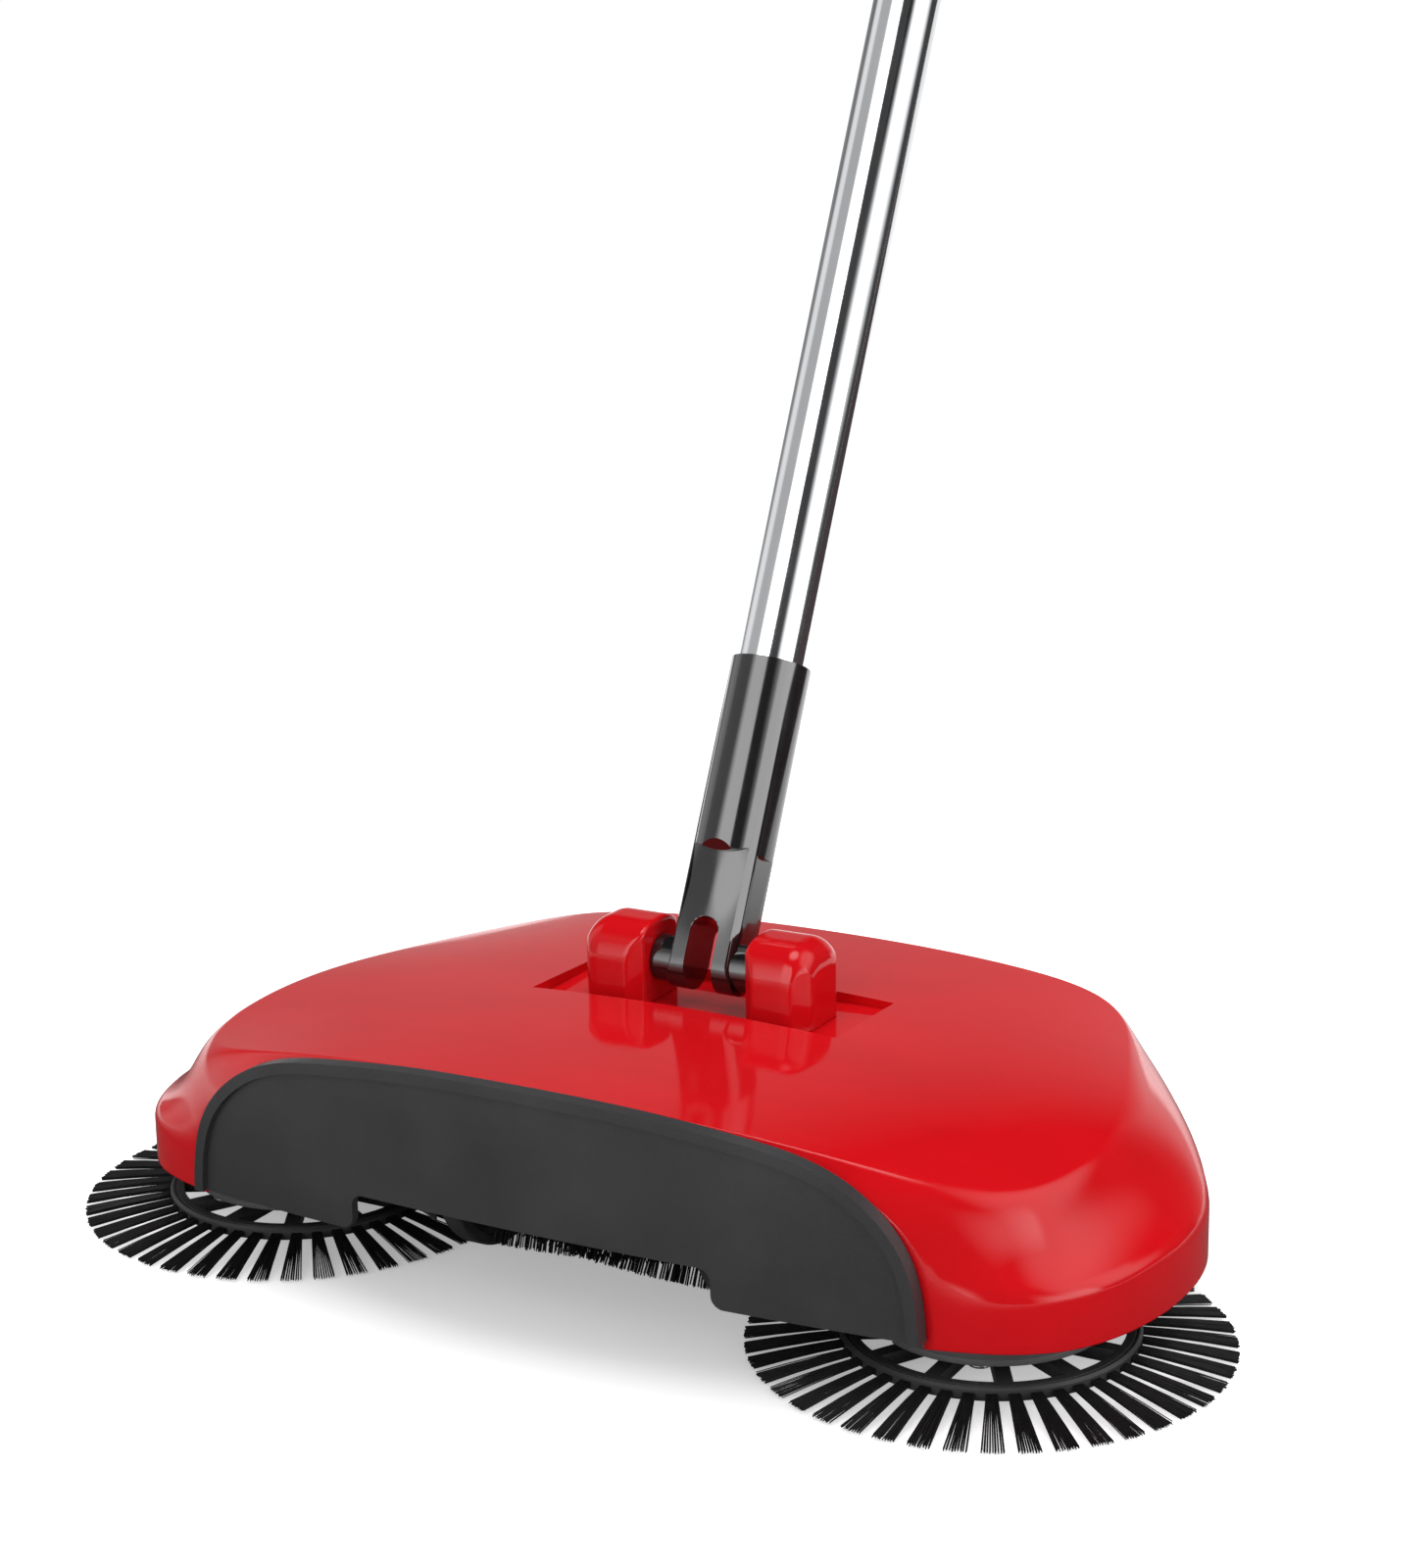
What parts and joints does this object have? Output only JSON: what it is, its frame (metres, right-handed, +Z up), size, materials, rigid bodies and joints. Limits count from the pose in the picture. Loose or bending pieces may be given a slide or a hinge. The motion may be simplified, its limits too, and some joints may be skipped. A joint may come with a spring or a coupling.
{
  "type": "carpet sweeper",
  "caption": "Hand-push carpet sweeper with a low red shell, spinning disc brushes at the front, a roller brush, a hinged dust tray and a tilting pole handle.",
  "frame": {"origin": "on the floor, midway between the two disc brushes and straight under the axle", "axes": "+Z up, +X along the axle to the right, the front faces -Y"},
  "size_m": [0.3836, 0.6049, 1.0476],
  "materials": {
    "shell_red": "glossy red moulded plastic",
    "panel_charcoal": "satin charcoal moulded plastic",
    "base_grey": "mid-grey moulded plastic",
    "cover_grey": "mid-grey moulded plastic",
    "carrier_grey": "light grey moulded plastic",
    "disc_grey": "dark grey moulded plastic",
    "gear_black": "black moulded plastic",
    "fork_black": "glossy black moulded plastic",
    "grip_black": "black soft-touch plastic",
    "brush_black": "black nylon bristles",
    "ramp_rubber": "dark flexible rubber",
    "tyre_rubber": "black rubber",
    "tube_chrome": "polished steel tube",
    "shaft_steel": "turned steel",
    "screw_steel": "plated steel screw",
    "bush_bronze": "sintered bronze"
  },
  "bodies": {
    "body": {"top_shell": "shell_red", "front_panel": "panel_charcoal", "base_plate": "base_grey", "gear_plate_right": "cover_grey", "gear_plate_left": "cover_grey", "hinge_boss_right": "shell_red", "hinge_boss_left": "shell_red", "gear_plate_screws": "screw_steel", "shell_screws": "screw_steel", "strip_screws": "screw_steel", "boss_screws": "screw_steel", "dirt_ramp": "ramp_rubber", "ramp_strip": "cover_grey", "axle_bushes": "bush_bronze", "spindle_bushes": "bush_bronze", "tray_pins": "shaft_steel"},
    "axle": {"axle_shaft": "shaft_steel", "roller_core": "gear_black", "roller_bristles": "brush_black", "drive_wheel_right": "gear_black", "drive_wheel_left": "gear_black", "tyre_right": "tyre_rubber", "tyre_left": "tyre_rubber", "pinion_right": "gear_black", "pinion_left": "gear_black", "axle_rings": "shaft_steel"},
    "disc_right": {"brush_wheel_right": "disc_grey", "brush_bristles_right": "brush_black", "spindle_right": "shaft_steel", "brush_screw_right": "screw_steel", "disc_gear_right": "gear_black"},
    "disc_left": {"brush_wheel_left": "disc_grey", "brush_bristles_left": "brush_black", "spindle_left": "shaft_steel", "brush_screw_left": "screw_steel", "disc_gear_left": "gear_black"},
    "tray": {"dust_tray": "base_grey", "wheel_carrier": "carrier_grey", "rear_wheel_pin": "shaft_steel"},
    "rear_roller": {"rear_wheel": "gear_black"},
    "handle": {"handle_fork": "fork_black", "hinge_pins": "shaft_steel", "tube_lower": "tube_chrome", "coupler_lower": "fork_black", "tube_middle": "tube_chrome", "coupler_upper": "fork_black", "tube_upper": "tube_chrome", "grip": "grip_black"}
  },
  "joints": [
    {"name": "axle_spin", "type": "hinge", "parent": "body", "child": "axle", "pos_m": [0, 0, 0.033], "axis": [1, 0, 0], "continuous": true},
    {"name": "disc_right_spin", "type": "hinge", "parent": "body", "child": "disc_right", "pos_m": [0.121, 0, 0], "axis": [0, 0, 1], "continuous": true},
    {"name": "disc_left_spin", "type": "hinge", "parent": "body", "child": "disc_left", "pos_m": [-0.121, 0, 0], "axis": [0, 0, 1], "continuous": true},
    {"name": "tray_hinge", "type": "hinge", "parent": "body", "child": "tray", "pos_m": [0, 0.082, 0.013], "axis": [-1, 0, 0], "range_deg": [0, 75]},
    {"name": "rear_wheel_spin", "type": "hinge", "parent": "tray", "child": "rear_roller", "pos_m": [0, 0.124, 0.011], "axis": [1, 0, 0], "continuous": true},
    {"name": "handle_tilt", "type": "hinge", "parent": "body", "child": "handle", "pos_m": [0, 0.055, 0.08], "axis": [-1, 0, 0], "range_deg": [-26, 56]}
  ],
  "couplings": [
    {"joint": "disc_right_spin", "follows": "axle_spin", "ratio": -0.6},
    {"joint": "disc_left_spin", "follows": "axle_spin", "ratio": 0.6}
  ]
}
